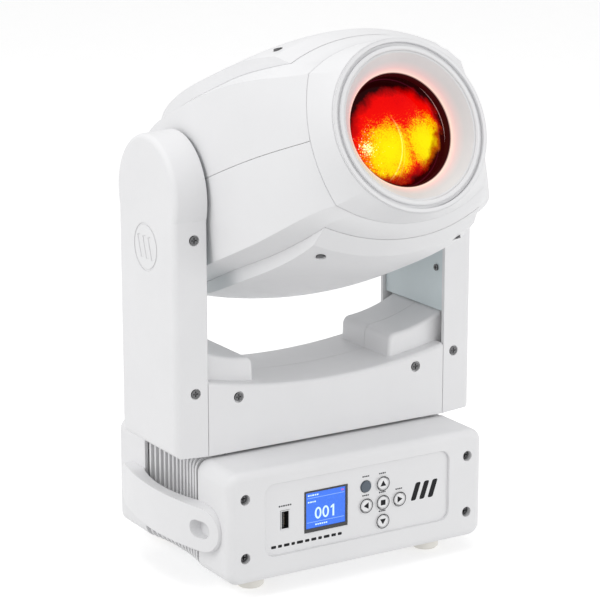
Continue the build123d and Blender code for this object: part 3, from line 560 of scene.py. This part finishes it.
# a black cup, open at the mouth: outer wall, then inner wall
lining = bmesh.new()
loops = []
for inset, y in ((0.0, mouth), (0.0, depth), (LINING_WALL, depth - LINING_WALL),
                 (LINING_WALL, mouth)):
    loops.append([lining.verts.new((port_x + sx * (half_x - inset), y,
                                    port_z + sz * (half_z - inset)))
                  for sx, sz in ((-1, -1), (1, -1), (1, 1), (-1, 1))])
for a, b in ((0, 1), (2, 3), (3, 0)):
    band(lining, loops[a], loops[b])
lining.faces.new(loops[1])
lining.faces.new(list(reversed(loops[2])))
finished("usb_lining", lining, finishes["socket_black"], "base")

tongue = bmesh.new()
small_block(tongue, port_x - 0.00228, port_x - 0.00012, port_low.y + 0.0012, depth - 0.0002,
            port_z - 0.00558, port_z + 0.00558, 0.00015)
finished("usb_tongue", tongue, finishes["socket_black"], "base")

CONTACT_HALF = 0.55
contacts = bmesh.new()
for contact_z in (-3.5, -1.1, 1.1, 3.5):
    small_block(contacts, port_x - 0.00020, port_x + 0.00010,
                port_low.y + 0.0016, depth - 0.0004,
                port_z + (contact_z - CONTACT_HALF) * MM,
                port_z + (contact_z + CONTACT_HALF) * MM, 0.00005)
finished("usb_contacts", contacts, brass, "base")


# ------------------------------------------------------------------- studio

LAMP_AIM = (0.0, 0.0, 0.2)
FLOOR_GLOW = 0.28
WORLD_LIGHT = 0.72
CAMERA_TARGET = Vector((0.00126, 0.0, 0.19624))
CAMERA_AZIMUTH = math.radians(-31.47)
CAMERA_ELEVATION = math.radians(14.29)
CAMERA_DISTANCE = 1.7675


def lamp(name, position, aim, size, power):
    """A round soft light that doesn't mirror in the lens."""
    data = bpy.data.lights.new(name, "AREA")
    data.shape = "DISK"
    data.size = size
    data.energy = power
    light = bpy.data.objects.new(name, data)
    light.location = position
    light.visible_glossy = False
    light.rotation_euler = (Vector(aim) - Vector(position)).to_track_quat("-Z", "Y").to_euler()
    bpy.context.scene.collection.objects.link(light)


lamp("key_left", (-1.7, 0.0, 1.2), LAMP_AIM, 1.2, 12.0)
lamp("top_soft", (0.0, 0.1, 2.2), LAMP_AIM, 1.4, 9.0)
lamp("front_fill", (0.5, -2.3, 0.7), LAMP_AIM, 1.2, 5.8)
lamp("low_right", (0.9, -1.0, 0.25), (0.09, -0.08, 0.06), 0.6, 2.6)

# a pale floor that glows a little and doesn't light the object from below
floor_mesh = bmesh.new()
bmesh.ops.create_grid(floor_mesh, x_segments=2, y_segments=2, size=6.0)
floor_data = bpy.data.meshes.new("studio_floor")
floor_mesh.to_mesh(floor_data)
floor_mesh.free()
floor = bpy.data.objects.new("studio_floor", floor_data)
bpy.context.scene.collection.objects.link(floor)
paper = surface("floor_paper", (0.93, 0.93, 0.93), 0.8, tone=0.01)
paper_shader = paper.node_tree.nodes["Principled BSDF"]
paper_shader.inputs["Emission Color"].default_value = (1.0, 1.0, 1.0, 1.0)
paper_shader.inputs["Emission Strength"].default_value = FLOOR_GLOW
floor_data.materials.append(paper)
floor.visible_diffuse = False

world = bpy.data.worlds.new("studio")
world.use_nodes = True
background = world.node_tree.nodes["Background"]
background.inputs["Color"].default_value = (1.0, 1.0, 1.0, 1.0)
background.inputs["Strength"].default_value = WORLD_LIGHT
bpy.context.scene.world = world
bpy.context.scene.view_settings.view_transform = "Standard"

camera_data = bpy.data.cameras.new("camera")
camera_data.sensor_width = 36.0
camera_data.lens = 138.1
camera = bpy.data.objects.new("camera", camera_data)
bpy.context.scene.collection.objects.link(camera)
camera.location = CAMERA_TARGET + CAMERA_DISTANCE * Vector((
    math.sin(CAMERA_AZIMUTH) * math.cos(CAMERA_ELEVATION),
    -math.cos(CAMERA_AZIMUTH) * math.cos(CAMERA_ELEVATION),
    math.sin(CAMERA_ELEVATION)))
camera.rotation_euler = (CAMERA_TARGET - camera.location).to_track_quat("-Z", "Y").to_euler()
bpy.context.scene.camera = camera
